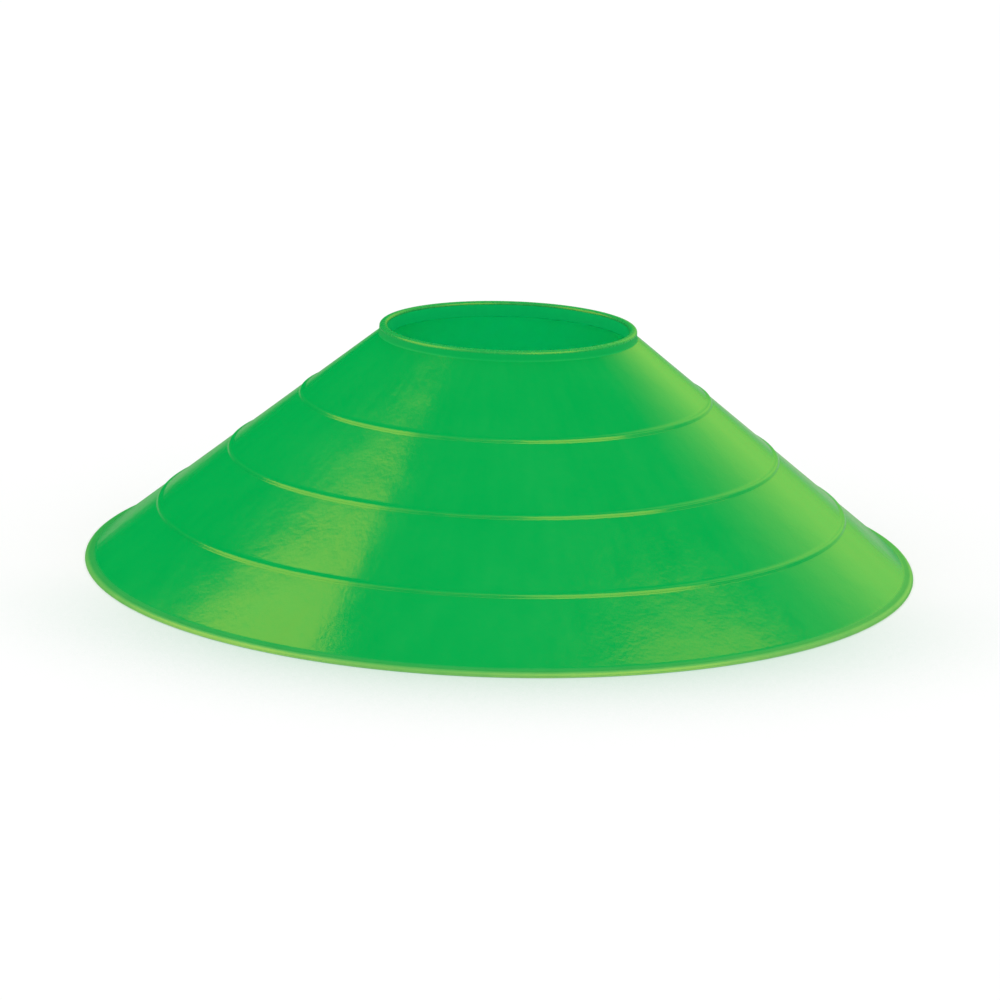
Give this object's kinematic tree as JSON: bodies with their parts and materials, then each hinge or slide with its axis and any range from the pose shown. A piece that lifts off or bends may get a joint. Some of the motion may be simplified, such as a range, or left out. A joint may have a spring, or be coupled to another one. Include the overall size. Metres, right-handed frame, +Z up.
{
  "type": "sports marker cone",
  "caption": "Low, wide marker cone: a thin open shell that nests for stacking, with fine ridges round its slope, a collared carrying hole at the top and a rounded hem at the foot.",
  "frame": {"origin": "centre of the foot ring, on the ground plane and on the cone's axis", "axes": "+Z up along the cone's axis, out through the top hole; +X and +Y have no preference, because the shell is a full revolve"},
  "size_m": [0.19, 0.19, 0.0545],
  "materials": {
    "shell": "semi-gloss moulded polyethylene with a fine mottled grain"
  },
  "bodies": {
    "root": {"cone_shell": "shell"}
  },
  "joints": []
}
